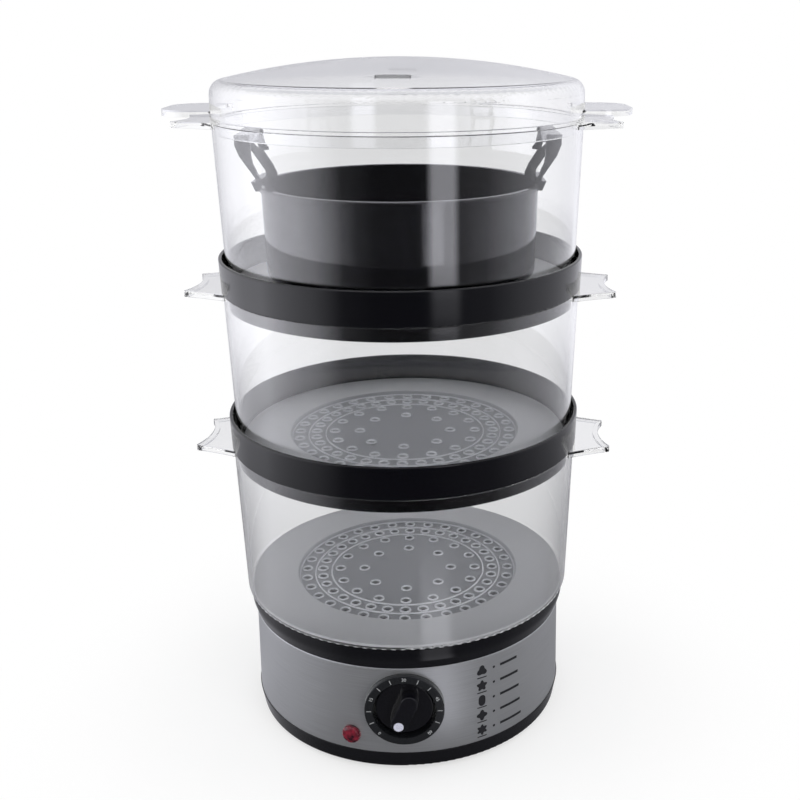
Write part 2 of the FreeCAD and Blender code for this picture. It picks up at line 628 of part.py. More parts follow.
def timer_body():
    """Clockwork timer behind the dial, with a bore for its shaft and a gong cup at the back."""
    corner = Vec(-TIMER_W / 2, -TIMER_FRONT_Y, DIAL_Z - TIMER_H / 2)
    case = Part.makeBox(TIMER_W, TIMER_T, TIMER_H, corner)
    uprights = [e for e in case.Edges if abs(e.tangentAt(0).y) > 0.99]
    case = case.makeFillet(TIMER_CORNER_R, uprights)
    back = Vec(0, -TIMER_FRONT_Y + TIMER_T + GONG_T, DIAL_Z)
    gong = rod(GONG_R, back, FRONT, GONG_T)
    bore = rod(SHAFT_R + SHAFT_GAP, back, FRONT, TIMER_T + GONG_T)
    holes = [rod(TIMER_SCREW_R, Vec(x, -TIMER_FRONT_Y + TIMER_SCREW_LENGTH, DIAL_Z), FRONT,
                 TIMER_SCREW_LENGTH)
             for x in (-TIMER_SCREW_SPACING / 2, TIMER_SCREW_SPACING / 2)]
    return case.fuse(gong).cut([bore] + holes)


def timer_screws():
    """Screws that hold the timer to the floor of the dial cup."""
    floor_y = TIMER_FRONT_Y + DIAL_FLOOR_T
    screws = []
    for x in (-TIMER_SCREW_SPACING / 2, TIMER_SCREW_SPACING / 2):
        start = Vec(x, -floor_y, DIAL_Z)
        screws.append(screw_with_head(TIMER_SCREW_R - THREAD / 2, TIMER_SCREW_LENGTH,
                                      TIMER_SCREW_HEAD_R, TIMER_SCREW_HEAD_H, start, -FRONT))
    return Part.makeCompound(screws)


def on_lens_axis(shape):
    """Turn a shape modelled along +X from the Z axis onto the axis of the pilot light."""
    shape.rotate(Vec(0, 0, 0), UP, -90 - LENS_ANGLE)
    return shape


def pilot_lens():
    """Red lens: a low dome with a hollow barrel through the band."""
    face = band_radius(LENS_Z)
    barrel_start = face - LENS_BARREL_LENGTH
    cap = rod(LENS_R, Vec(face - 1, 0, LENS_Z), Vec(1, 0, 0), LENS_PROUD + 1)
    rim = [e for e in cap.Edges if e.Closed and abs(e.CenterOfMass.x - face - LENS_PROUD) < 1e-3]
    cap = cap.makeFillet(LENS_ROUND, rim).cut(band_core(-BAND_GAP))
    barrel = rod(LENS_BARREL_R, Vec(barrel_start, 0, LENS_Z), Vec(1, 0, 0), LENS_BARREL_LENGTH)
    room_r = LAMP_R + SEAT_GAP / 2
    room = rod(room_r, Vec(barrel_start, 0, LENS_Z), Vec(1, 0, 0), LENS_BARREL_LENGTH)
    return on_lens_axis(cap.fuse(barrel).cut(room))


def pilot_lamp():
    """Neon lamp that stands in the barrel of the lens."""
    start = band_radius(LENS_Z) - LENS_BARREL_LENGTH - LAMP_LENGTH / 2
    return on_lens_axis(rod(LAMP_R, Vec(start, 0, LENS_Z), Vec(1, 0, 0), LAMP_LENGTH))


def lamp_holder():
    """Sleeve that clips the lamp behind the lens barrel."""
    end = band_radius(LENS_Z) - LENS_BARREL_LENGTH
    start = end - LAMP_LENGTH
    outer = rod(LENS_BARREL_R + LAMP_HOLDER_WALL, Vec(start, 0, LENS_Z), Vec(1, 0, 0), LAMP_LENGTH)
    inner = rod(LAMP_R + SEAT_GAP / 2, Vec(start, 0, LENS_Z), Vec(1, 0, 0), LAMP_LENGTH)
    return on_lens_axis(outer.cut(inner))


def cord_gland():
    """Grommet in the back of the housing where the mains lead enters."""
    face_y = band_radius(GLAND_Z)
    flange = rod(GLAND_FLANGE_R, Vec(0, face_y - 2, GLAND_Z), -FRONT, GLAND_FLANGE_T + 2)
    flange = flange.cut(band_core(-BAND_GAP))
    start = Vec(0, face_y + GLAND_FLANGE_T - GLAND_LENGTH, GLAND_Z)
    barrel = rod(GLAND_BARREL_R, start, -FRONT, GLAND_LENGTH)
    bore = rod(GLAND_BORE_R, Vec(0, face_y - GLAND_LENGTH, GLAND_Z), -FRONT, 2 * GLAND_LENGTH)
    return flange.fuse(barrel).cut(bore)


def terminal_block():
    """Screw terminals that join the lead to the timer, the lamp and the heater."""
    length, depth, height = BLOCK_SIZE
    x = BASE_R - BLOCK_SET_IN
    corner = Vec(x - length / 2, BLOCK_Y - depth / 2, FOOT_STAND + COVER_T)
    block = Part.makeBox(length, depth, height, corner)
    ports = []
    for i in range(BLOCK_PORT_COUNT):
        start = corner + Vec(length * (i + 0.5) / BLOCK_PORT_COUNT, 0, height / 2)
        ports.append(rod(BLOCK_PORT_R, start, -FRONT, depth))
    return block.cut(ports)


# ---- drip tray -----------------------------------------------------------------------------

def drip_tray():
    """Round tray with a bulging collar, a trough for juices and a chimney for the steam."""
    foot_r = BAND_TOP_R + BAND_BEAD_R
    bulge_r = BASKET_BOTTOM_R - TRAY_SET_IN
    inner_r = bulge_r - TRAY_WALL - EDGE
    middle_z = DECK_Z + TRAY_RISE / 2
    floor_z = DECK_Z + TRAY_FLOOR_GAP
    chimney_z = floor_z + CHIMNEY_H
    rib_r = LEDGE_R - NEST_GAP
    trough_r = rib_r - TROUGH_TAPER
    return turned([
        (TRAY_FOOT_R, DECK_Z, 0.3),
        (foot_r, DECK_Z, 0.6),
        (bulge_r, middle_z, TRAY_BULGE_ROUND),
        (bulge_r - TRAY_TOP_TAPER, TRAY_TOP_Z, 1.0),
        (rib_r, TRAY_TOP_Z, 0),
        (rib_r, TRAY_TOP_Z + TRAY_RIB_H, EDGE),
        (rib_r - TRAY_WALL, TRAY_TOP_Z + TRAY_RIB_H, EDGE),
        (trough_r - TRAY_WALL, floor_z + TRAY_WALL, 3.0),
        (CHIMNEY_R + TRAY_WALL, floor_z + TRAY_WALL, 3.0),
        (CHIMNEY_TOP_R + TRAY_WALL, chimney_z, SOFT_EDGE),
        (CHIMNEY_TOP_R, chimney_z, SOFT_EDGE),
        (CHIMNEY_R, floor_z, 0),
        (trough_r, floor_z, 4.0),
        (rib_r, TRAY_TOP_Z - TRAY_WALL, 1.0),
        (inner_r, TRAY_TOP_Z - TRAY_WALL, 1.0),
        (inner_r, middle_z, TRAY_BULGE_ROUND - TRAY_WALL - 1.0),
    ])


# ---- baskets, floor plates and connecting rings --------------------------------------------

def basket_radius(height):
    """Outer radius of a basket at a height over its foot."""
    return BASKET_BOTTOM_R + BASKET_TAPER * height / BASKET_H


def fishtail_handle(rim_z):
    """Flat handle with a notched outer end and a turned-down edge, along +X."""
    tip = Vec(BASKET_TOP_R + HANDLE_REACH, HANDLE_TIP_Y, 0)
    notch = Vec(BASKET_TOP_R + HANDLE_NOTCH_REACH, 0, 0)
    root = Vec(BASKET_TOP_R - HANDLE_ROOT_SINK, HANDLE_ROOT_Y, 0)
    start = Vec(BASKET_BORE_R - 2 * HANDLE_ROOT_SINK, HANDLE_ROOT_Y, 0)
    waist = (tip + root) * 0.5 - Vec(0, HANDLE_WAIST, 0)

    def mirrored(p):
        return Vec(p.x, -p.y, p.z)

    edges = [
        Part.Arc(mirrored(tip), notch, tip).toShape(),
        Part.Arc(tip, waist, root).toShape(),
        Part.LineSegment(root, start).toShape(),
        Part.LineSegment(start, mirrored(start)).toShape(),
        Part.LineSegment(mirrored(start), mirrored(root)).toShape(),
        Part.Arc(mirrored(root), mirrored(waist), mirrored(tip)).toShape(),
    ]
    outline = Part.Face(Part.Wire(Part.__sortEdges__(edges)))
    slab = outline.extrude(Vec(0, 0, HANDLE_LIP_H))
    tips = [e for e in slab.Edges if abs(e.tangentAt(e.FirstParameter).z) > 0.99
            and e.CenterOfMass.x > tip.x - HANDLE_LIP_W]
    slab = slab.makeFillet(HANDLE_CORNER_R, tips)
    hollow = outline.makeOffset2D(-HANDLE_LIP_W).extrude(Vec(0, 0, HANDLE_LIP_H - HANDLE_T))
    hollow = hollow.common(hollow.translated(Vec(-HANDLE_NOTCH_LIP, 0, 0)))
    handle = slab.cut(hollow)
    handle.translate(Vec(0, 0, rim_z - HANDLE_LIP_H))
    return handle


def basket(z):
    """Clear basket wall with a ledge for its floor plate and two fishtail handles."""
    rim_z = z + BASKET_H
    wall = turned([
        (LEDGE_R, z, EDGE),
        (BASKET_BOTTOM_R, z, BASKET_EDGE_R),
        (BASKET_TOP_R, rim_z, EDGE),
        (BASKET_BORE_R, rim_z, EDGE),
        (BASKET_BOTTOM_R - BASKET_WALL, z + LEDGE_T, 0),
        (LEDGE_R, z + LEDGE_T, EDGE),
    ])
    clear = rod(BASKET_BORE_R, Vec(0, 0, rim_z - 2 * HANDLE_LIP_H), UP, 3 * HANDLE_LIP_H)
    handle = fishtail_handle(rim_z).cut(clear)
    return wall.fuse(around(handle, 2, HANDLE_TURN_ANGLE))


def floor_plate(z):
    """Perforated floor: a flat border and a sunk middle that carries the rings of holes."""
    seat_z = z + LEDGE_T
    top_z = seat_z + PLATE_T
    radius = BASKET_BOTTOM_R - BASKET_WALL - NEST_GAP
    step_r = PLATE_STEP_R + PLATE_T / 2
    dish = turned([
        (0, seat_z - PLATE_SINK, 0),
        (step_r - PLATE_STEP_SLOPE, seat_z - PLATE_SINK, EDGE),
        (step_r, seat_z, EDGE),
        (radius, seat_z, 0),
        (radius, top_z, EDGE),
        (PLATE_STEP_R, top_z, EDGE),
        (PLATE_STEP_R - PLATE_STEP_SLOPE, top_z - PLATE_SINK, EDGE),
        (0, top_z - PLATE_SINK, 0),
    ])
    rib = tube(RIB_R + RIB_W / 2, RIB_R - RIB_W / 2, top_z - PLATE_SINK - RIB_H, 2 * RIB_H)
    holes = []
    for ring_r, count in zip(HOLE_RING_R, HOLE_RING_COUNT):
        hole = rod(HOLE_R, Vec(ring_r, 0, seat_z - PLATE_SINK), UP, PLATE_T)
        holes += around(hole, count)
    return dish.fuse(rib).cut(holes)


def connecting_ring(z):
    """Black ring that seats on one basket and carries the next one inside its lip."""
    top = z + RING_LIP_H
    room_low = basket_radius(0) + RING_ROOM
    room_high = basket_radius(RING_LIP_H - RING_WEB_T) + RING_ROOM
    foot_r = max(room_low + RING_WALL, BASKET_TOP_R + RING_OVERHANG)
    ledge_r = BASKET_BOTTOM_R - RING_LEDGE_W
    return turned([
        (NEST_R - RING_FLANGE_T, z - RING_FLANGE_H, EDGE),
        (NEST_R, z - RING_FLANGE_H, EDGE),
        (NEST_R, z, 0),
        (foot_r, z, SOFT_EDGE),
        (room_high + RING_WALL, top, SOFT_EDGE),
        (room_high, top, SOFT_EDGE),
        (room_low, z + RING_WEB_T, 0),
        (ledge_r, z + RING_WEB_T, EDGE),
        (ledge_r, z, EDGE),
        (NEST_R - RING_FLANGE_T, z, 0),
    ])


# ---- rice bowl -----------------------------------------------------------------------------

def bowl_slab(line, y, width):
    """Slab across the handle, its outline given as reach beyond the bowl and height over its rim."""
    points = [Vec(BOWL_TOP_R + reach, y, BOWL_RIM_Z + height) for reach, height in line]
    return Part.Face(Part.makePolygon(points + points[:1])).extrude(Vec(0, width, 0))


def bowl_leg(web_line, y):
    """One leg of the bowl handle: a rib along its outer line and a thinner web inside it."""
    inner = [(reach - BOWL_RIB_DEPTH, height) for reach, height in reversed(BOWL_LEG_LINE)]
    rib = bowl_slab(list(BOWL_LEG_LINE) + inner, y, BOWL_LEG_W)
    web_y = y + (BOWL_LEG_W - BOWL_WEB_T) / 2
    middle = [(reach - BOWL_RIB_DEPTH / 2, height) for reach, height in reversed(BOWL_LEG_LINE)]
    web = bowl_slab(list(web_line) + middle, web_y, BOWL_WEB_T)
    return rib.fuse(web)


def bowl_handle():
    """Open handle along +X: a root on the rim, two curved legs and a bar across their tops."""
    half = BOWL_HANDLE_W / 2
    front = bowl_leg(BOWL_FRONT_WEB, -half)
    back = bowl_leg(BOWL_BACK_WEB, half - BOWL_LEG_W).cut(bowl_slab(BOWL_HOOK_EYE, 0, BOWL_HANDLE_W))
    tip, tip_h = BOWL_LEG_LINE[-1]
    bar_in = BOWL_FRONT_WEB[-1][0]
    low_h = tip_h - BOWL_BAR_T
    bar_line = [(bar_in, low_h), (tip, low_h), (tip, tip_h), (bar_in, tip_h)]
    bar = bowl_slab(bar_line, -half, BOWL_HANDLE_W)
    root = bowl_slab([(-BOWL_WALL / 2, -BOWL_BASE_DROP), (BOWL_BASE_REACH - BOWL_WALL, -BOWL_BASE_DROP),
                      (BOWL_BASE_REACH, BOWL_BASE_RISE), (-BOWL_WALL / 2, BOWL_BASE_RISE)],
                     -half, BOWL_HANDLE_W)
    return front.fuse([back, bar, root])


def rice_bowl():
    """Black bowl with a rim bead, a foot ring and two open handles."""
    base_z = BOWL_Z + BOWL_FOOT_H
    bead_z = BOWL_RIM_Z - BOWL_RIM_T
    foot_r = PLATE_STEP_R + BOWL_FOOT_W
    shell = turned([
        (0, base_z, 0),
        (PLATE_STEP_R, base_z, 0),
        (PLATE_STEP_R, BOWL_Z, EDGE),
        (foot_r, BOWL_Z, EDGE),
        (foot_r, base_z, 0),
        (BOWL_BOTTOM_R, base_z, BOWL_EDGE_R),
        (BOWL_TOP_R, bead_z, 0),
        (BOWL_TOP_R + BOWL_RIM_W, bead_z, EDGE),
        (BOWL_TOP_R + BOWL_RIM_W, BOWL_RIM_Z, SOFT_EDGE),
        (BOWL_TOP_R - BOWL_WALL, BOWL_RIM_Z, EDGE),
        (BOWL_BOTTOM_R - BOWL_WALL, base_z + BOWL_WALL, BOWL_EDGE_R - BOWL_WALL),
        (0, base_z + BOWL_WALL, 0),
    ])
    inside = Part.makeCone(BOWL_BOTTOM_R - BOWL_WALL, BOWL_TOP_R - BOWL_WALL,
                           BOWL_H - BOWL_FOOT_H, Vec(0, 0, base_z))
    handle = bowl_handle().cut(inside)
    return shell.fuse([handle, handle.mirror(Vec(0, 0, 0), Vec(1, 0, 0))])


# ---- lid -----------------------------------------------------------------------------------

def lid_form(inset):
    """Outside of the lid, drawn in by an inset: a cone under a dome, with a rounded shoulder."""
    height = LID_H - inset
    wall = Part.makeCone(LID_RIM_R - inset, LID_SHOULDER_R - inset, LID_H, Vec(0, 0, LID_Z))
    dome_r = (LID_SHOULDER_R ** 2 + LID_DOME_RISE ** 2) / (2 * LID_DOME_RISE)
    dome = Part.makeSphere(dome_r, Vec(0, 0, LID_Z + height - dome_r))
    form = wall.common(dome)
    shoulder = [e for e in form.Edges if e.Closed and LID_Z + 2 < e.CenterOfMass.z]
    return form.makeFillet(LID_FILLET_R - inset, shoulder)


def lid_handle():
    """Flat wing with round outer corners and a turned-down edge, along +X."""
    half = LID_HANDLE_W / 2
    z = LID_Z + LID_HANDLE_Z
    start = LID_SHOULDER_R - LID_HANDLE_CORNER_R
    end = LID_RIM_R + LID_HANDLE_REACH

    def wing(inset, thickness):
        corner = LID_HANDLE_CORNER_R - inset
        return plate([(start, -half + inset, 0), (end - inset, -half + inset, corner),
                      (end - inset, half - inset, corner), (start, half - inset, 0)],
                     z, thickness)

    return wing(0, LID_HANDLE_H).cut(wing(HANDLE_LIP_W, LID_HANDLE_H - HANDLE_T))


def lid():
    """Clear domed lid with two steam slots, a locating flange and two wing handles."""
    outer = lid_form(0)
    inner = lid_form(LID_WALL)
    shell = outer.cut(inner)
    flange = turned([
        (NEST_R - LID_WALL, LID_Z - LID_FLANGE_H, EDGE),
        (NEST_R, LID_Z - LID_FLANGE_H, EDGE),
        (NEST_R, LID_Z, 0),
        (LID_RIM_R - LID_WALL / 2, LID_Z, 0),
        (LID_RIM_R - LID_WALL / 2, LID_Z + LID_WALL, 0),
        (NEST_R - LID_WALL, LID_Z + LID_WALL, EDGE),
    ])
    handles = [h.cut(inner) for h in both_sides(lid_handle())]
    slots = []
    slot_y = LID_SHOULDER_R - SLOT_SET_IN
    for y in (-slot_y, slot_y):
        half_l = SLOT_L / 2
        half_w = SLOT_W / 2
        slots.append(plate([(-half_l, y - half_w, 1.5), (half_l, y - half_w, 1.5),
                            (half_l, y + half_w, 1.5), (-half_l, y + half_w, 1.5)],
                           LID_Z + LID_H / 2, LID_H))
    return shell.fuse([flange] + handles).cut(slots)


NODES = {
    "base_housing": base_housing,
    "steel_band": steel_band,
    "bottom_cover": bottom_cover,
    "rubber_feet": rubber_feet,
    "cover_screws": cover_screws,
    "heater_gasket": heater_gasket,
    "heater_plate": heater_plate,
    "heating_element": heating_element,
    "heater_clamp": heater_clamp,
    "heater_bolts": heater_bolts,
    "thermostat": thermostat,
    "thermal_fuse": thermal_fuse,
    "booster_ring": booster_ring,
    "dial_bezel": dial_bezel,
    "timer_knob": timer_knob,
    "pointer_inlay": pointer_inlay,
    "timer_shaft": timer_shaft,
    "timer_body": timer_body,
    "timer_screws": timer_screws,
    "pilot_lens": pilot_lens,
    "pilot_lamp": pilot_lamp,
    "lamp_holder": lamp_holder,
    "cord_gland": cord_gland,
    "terminal_block": terminal_block,
    "drip_tray": drip_tray,
    "lower_basket": lambda: basket(LOWER_BASKET_Z),
    "lower_floor_plate": lambda: floor_plate(LOWER_BASKET_Z),
    "lower_ring": lambda: connecting_ring(LOWER_RING_Z),
    "middle_basket": lambda: basket(MIDDLE_BASKET_Z),
    "middle_floor_plate": lambda: floor_plate(MIDDLE_BASKET_Z),
    "upper_ring": lambda: connecting_ring(UPPER_RING_Z),
    "upper_basket": lambda: basket(UPPER_BASKET_Z),
    "upper_floor_plate": lambda: floor_plate(UPPER_BASKET_Z),
    "rice_bowl": rice_bowl,
    "lid": lid,
}

os.makedirs("parts", exist_ok=True)
for name, make in NODES.items():
    make().exportStep("parts/" + name + ".step")
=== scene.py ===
"""Electric food steamer: studio, camera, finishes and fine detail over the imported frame."""
import json
import math

import bmesh
import bpy
from mathutils import Matrix, Vector

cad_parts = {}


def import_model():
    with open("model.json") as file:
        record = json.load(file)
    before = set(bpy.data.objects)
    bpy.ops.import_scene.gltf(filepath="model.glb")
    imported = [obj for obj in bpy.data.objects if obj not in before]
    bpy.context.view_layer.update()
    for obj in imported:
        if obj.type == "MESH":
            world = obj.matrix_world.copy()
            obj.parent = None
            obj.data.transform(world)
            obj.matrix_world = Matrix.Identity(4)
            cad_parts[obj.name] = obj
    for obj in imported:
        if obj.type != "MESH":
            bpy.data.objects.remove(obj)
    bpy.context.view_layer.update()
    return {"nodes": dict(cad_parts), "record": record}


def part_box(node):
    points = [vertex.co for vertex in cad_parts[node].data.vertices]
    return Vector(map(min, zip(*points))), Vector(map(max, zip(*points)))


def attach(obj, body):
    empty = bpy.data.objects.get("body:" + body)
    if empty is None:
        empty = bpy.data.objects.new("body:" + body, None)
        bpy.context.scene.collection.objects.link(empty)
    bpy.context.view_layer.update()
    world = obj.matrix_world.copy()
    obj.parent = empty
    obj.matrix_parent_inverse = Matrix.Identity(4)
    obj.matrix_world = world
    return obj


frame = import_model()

MM = 0.001

# ---- camera: the photograph's viewpoint ------------------------------------------------------
CAMERA_PLACE = (22.8 * MM, -651.4 * MM, 421.7 * MM)
CAMERA_PITCH = 18.94        # degrees below the horizon
CAMERA_YAW = 1.39           # degrees to the right of +Y
FOCAL_PX = 1111.9           # focal length in pixels of the 800-pixel frame
FRAME_PX = 800
AXIS_PX = 466.9             # column of the frame that the optical axis meets
SENSOR_MM = 36.0
CLIP_START = 0.01

# ---- studio: what mirrors and clear walls show, 1 being white --------------------------------
ROOM_PEAK = 1.9             # brightest of the tones below
ROOM_TONES = (              # bearing in degrees from the front, positive to the right; tone there
    (-180, 0.6), (-150, 0.65), (-110, 1.25), (-90, 1.9), (-52, 0.95), (-33, 0.12), (-14, 0.03),
    (12, 0.03), (54, 0.18), (76, 0.56), (90, 0.70), (150, 0.95), (180, 0.6))
ROOM_TINT = (0.97, 0.97, 1.04, 1)
STRIP_BEARING = 27.0        # middle of a narrow upright light
GLINT_BEARING = 17.0        # the same light, where it is mirrored close to the foot
STRIP_HALF = 8.0            # degrees each side of its middle
STRIP_EDGE = 3.0            # softness of its edges, degrees
STRIP_TONE = 1.5
THROUGH_TONE = 0.96         # backdrop behind clear plastic
INSIDE_TONE = 1.7           # of the sky as it lights pieces behind clear plastic
FILL_TONE = 0.6             # of the sky as it lights everything else
BOUNCES = 64                # enough for light guided inside the clear pieces

# Fades over the table by distance from the axis in metres: from, to, value there, value beyond
# painted shade: close to the foot, mirrors show the room's tones darkened
TABLE_ROOM_SHADE = (0.12, 1.0, 0.2, 1.0)          # share of the room's tones, mirrored
TABLE_STRIP = (0.80, 1.25, 0.0, 1.0)        # share of the strip, mirrored
TABLE_GLINT_RISE = (0.13, 0.155, 0.0, 0.45)
TABLE_GLINT_FALL = (0.22, 0.40, 0.45, 0.0)
TABLE_CLOSE_SHADING = (0.15, 0.45, 0.10, 0.0)       # tone of the table itself close to the foot, mirrored: painted shading
# painted shade: the table seen behind clear plastic is darker close to the foot
TABLE_BEHIND_SHADE = (0.12, 0.5, 0.85, THROUGH_TONE)
TABLE_WHITE = (0.12, 0.28, 0.60, 1.0)       # share of plain white over the shadow
# Fades up the sky, by the height of a direction of length 1
SKY_STRIP = (0.25, 0.50, 1.0, 0.0)
SKY_CEILING = (0.30, 0.80, 0.0, 0.85)       # the room's own tone takes the place of the 0

FLOOR_HALF = 8.0            # half a side of the table, metres
PANELS = (                  # name, bearing (to the left positive), distance, size in metres, watts
    ("left_panel", 100, 1.0, (1.2, 1.1), 7),
    ("right_panel", -105, 1.0, (1.1, 1.1), 5),
    ("front_panel", -30, 1.1, (0.6, 1.1), 4))
TOP_LAMP = (                # name, place, size, watts, point it is aimed at
    "top", (0.0, -0.1, 1.6), (1.4, 1.0), 8, (0, 0, 0.2))

# ---- dial print ------------------------------------------------------------------------------
SCALE_START = 225.0         # zero minutes, degrees clockwise from the top
SCALE_STEP = 22.5           # degrees from one stroke to the next
SCALE_STEPS = 12
STEP_MINUTES = 5
NUMBER_EVERY = 3            # steps from one number to the next
DIAL_RING_R = 20.7 * MM     # middle of the ring's printed face
NUMBER_H = 2.1 * MM
FONT_PER_HEIGHT = 1.35      # font size for a digit of height 1
TICK_LENGTH = 2.8 * MM
TICK_W = 0.34 * MM
PRINT_T = 0.06 * MM         # thickness of all print
PRINT_WHITE = (             # darkest, middle, lightest
    (0.34, 0.35, 0.36), (0.40, 0.41, 0.42), (0.46, 0.47, 0.48))

# ---- marks on the band -----------------------------------------------------------------------
MARK_ROWS = 5
MARK_TOP = 59.5 * MM        # height of the uppermost row
MARK_STEP = 10.05 * MM
GLYPH_BEARING = 27.8        # degrees to the right of the front
DOT_BEARING = 32.7
BAR_BEARING = 35.4
GLYPH_R = 3.0 * MM
GLYPH_LOBES = (3, 5, 2, 4, 6)
GLYPH_DEPTH = 0.22          # of the waves between the lobes, as a share of the radius
LINE_LENGTH = 6.4 * MM      # of the line under each glyph
LINE_W = 0.7 * MM
LINE_DROP = 4.5 * MM        # under the glyph's middle
DOT_R = 0.85 * MM
BAR_LENGTHS = (13.5 * MM, 14.5 * MM, 15.5 * MM, 16.5 * MM, 17.5 * MM)
BAR_W = 1.7 * MM
PRINT_BLACK = (0.012, 0.012, 0.015)
CAST_FROM = 0.2             # distance from which points are dropped on a piece, metres

# ---- perforated floors of the tiers ----------------------------------------------------------
TIERS = (("lower", "basket_1"), ("middle", "basket_2"), ("upper", "basket_3"))  # name, body
HOLE_R = 2.3 * MM
HOLE_RIM_W = 1.3 * MM
HOLE_RIM_H = 0.9 * MM
HOLE_RINGS = (              # radius, number of holes
    (65.0 * MM, 32), (54.8 * MM, 32), (43.5 * MM, 16), (28.0 * MM, 8))
PLATE_T = 1.6 * MM          # thickness of the sunk middle above its underside
SUNK_R = 70.2 * MM          # radius of the sunk middle
SUNK_EDGE = 1.0 * MM
RIDGES = (69.4 * MM, 59.4 * MM, 49.0 * MM)  # circles moulded between the rings of holes
RIDGE_W = 1.2 * MM
RIDGE_H = 0.75 * MM
# pale colour of the raised rims and circles: a painted highlight on real relief
RIDGE_PAINTED_HIGHLIGHT = (0.90, 0.91, 0.95)

# ---- grey frames in the steam slots: painted shading -----------------------------------------
SLOT_REACH = 77.0 * MM      # middle of a slot from the axis
SLOT_SIZE = (18.4 * MM, 6.4 * MM)   # along X and Y
SLOT_DEPTH = 1.8 * MM       # wall of the lid
SLOT_GAP = 0.03 * MM        # between that wall and the edge's face
SLOT_EDGE_T = 0.12 * MM
SLOT_DROP = 0.08 * MM       # of the edge under the lid's surface
LID_TOP_SIDE = 1.0 * MM     # distance beside a slot where the lid's surface is measured
# grey of the slot frames: painted shading of the slots' clear walls
SLOT_PAINTED_SHADING = (0.45, 0.45, 0.47)

# ---- feet of the baskets ---------------------------------------------------------------------
FOOT_ZONE = 4.0 * MM        # height over which the foot of a wall is measured
BEAD_COUNT = 116
BEAD_SIZE = (3.2 * MM, 0.6 * MM, 0.5 * MM)
BEAD_INSET = 0.75 * MM      # of a bead's middle from the wall's outer face and foot
# pale colour of the beads: a painted highlight along the clear foot
BEAD_PAINTED_HIGHLIGHT = (0.82, 0.83, 0.87)

# ---- finishes --------------------------------------------------------------------------------
NOISE_SPAN = (0.3, 0.7)     # values between which most of a noise texture lies


# ---- shader helpers --------------------------------------------------------------------------

def node_material(name, colour, roughness, **settings):
    """Material with one Principled shader; settings name its sockets with underscores."""
    made = bpy.data.materials.new(name)
    made.use_nodes = True
    sockets = made.node_tree.nodes["Principled BSDF"].inputs
    sockets["Base Color"].default_value = (*colour, 1.0)
    sockets["Roughness"].default_value = roughness
    for key, value in settings.items():
        sockets[key.replace("_", " ")].default_value = value
    return made


def add_node(made, kind, **settings):
    """Shader node of a kind; settings name its properties, or its inputs with underscores."""
    node = made.node_tree.nodes.new(kind)
    for key, value in settings.items():
        if hasattr(node, key):
            setattr(node, key, value)
        else:
            node.inputs[key.replace("_", " ")].default_value = value
    return node


def link(made, source, target):
    made.node_tree.links.new(source, target)


def join(made, source, output, target, socket):
    link(made, source.outputs[output], target.inputs[socket])


def shader_of(made):
    return made.node_tree.nodes["Principled BSDF"]


def noise(made, scale, detail=3.0, stretch=(1, 1, 1)):
    """Noise in metres of the part's own frame, stretched along its axes, as a socket."""
    place = add_node(made, "ShaderNodeTexCoord")
    mapping = add_node(made, "ShaderNodeMapping", Scale=stretch)
    texture = add_node(made, "ShaderNodeTexNoise", Scale=scale, Detail=detail)
    join(made, place, "Object", mapping, "Vector")
    join(made, mapping, "Vector", texture, "Vector")
    return texture.outputs["Fac"]


def vary(made, source, name, low, high):
    """Drive a shader input between two values by a noise."""
    spread = add_node(made, "ShaderNodeMapRange", From_Min=NOISE_SPAN[0], From_Max=NOISE_SPAN[1],
                      To_Min=low, To_Max=high)
    link(made, source, spread.inputs["Value"])
    join(made, spread, "Result", shader_of(made), name)


def tint(made, source, dark, light, span=NOISE_SPAN):
    """Blend the base colour between two shades as a socket runs over a span."""
    ramp = add_node(made, "ShaderNodeValToRGB")
    for stop, colour, place in zip(ramp.color_ramp.elements, (dark, light), span):
        stop.color = (*colour, 1)
        stop.position = place
    link(made, source, ramp.inputs["Fac"])
    join(made, ramp, "Color", shader_of(made), "Base Color")


def bump(made, source, height, strength=1.0):
    """Relief of a height in metres."""
    relief = add_node(made, "ShaderNodeBump", Distance=height, Strength=strength)
    link(made, source, relief.inputs["Height"])
    join(made, relief, "Normal", shader_of(made), "Normal")


def fade(made, source, near, far, tone_near, tone_far):
    """Tone that runs smoothly from one value to another as a socket runs between two values."""
    run = add_node(made, "ShaderNodeMapRange", interpolation_type="SMOOTHSTEP",
                   From_Min=near, From_Max=far, To_Min=tone_near, To_Max=tone_far)
    link(made, source, run.inputs["Value"])
    return run.outputs["Result"]


def math_node(made, operation, *values):
    """Result of a math node on values, each a socket or a number with a decimal point."""
    node = add_node(made, "ShaderNodeMath", operation=operation)
    for value, socket in zip(values, node.inputs):
        if isinstance(value, float):
            socket.default_value = value
        else:
            link(made, value, socket)
    return node.outputs[0]


def weighted(made, parts):
    """Sum of sockets, each multiplied by its weight."""
    total = None
    for socket, weight in parts:
        share = math_node(made, "MULTIPLY", socket, weight)
        total = share if total is None else math_node(made, "ADD", total, share)
    return total


def axis_distance(made):
    """Distance from the object's upright axis, in metres, as a socket."""
    place = add_node(made, "ShaderNodeTexCoord")
    level = add_node(made, "ShaderNodeMapping", Scale=(1, 1, 0))
    reach = add_node(made, "ShaderNodeVectorMath", operation="LENGTH")
    join(made, place, "Object", level, "Vector")
    join(made, level, "Vector", reach, 0)
    return reach.outputs["Value"]


# ---- finishes --------------------------------------------------------------------------------

def moulded(name, colour, roughness, mould_mm=0.4, relief=0.004, **settings):
    """Moulded plastic: slightly uneven gloss, and a relief whose grain and height are in mm."""
    made = node_material(name, colour, roughness, **settings)
    bump(made, noise(made, 1 / (mould_mm * MM), 2.0), relief * MM)
    vary(made, noise(made, 40.0), "Roughness", roughness * 0.85, roughness * 1.2)
    return made


def clear(name, colour, ior=1.5, **settings):
    """Clear moulded plastic with very faint flow waves."""
    made = node_material(name, colour, 0.02, IOR=ior, Transmission_Weight=1.0, **settings)
    bump(made, noise(made, 25.0, 1.0, (1, 1, 0.4)), 0.05 * MM, 0.5)
    return made


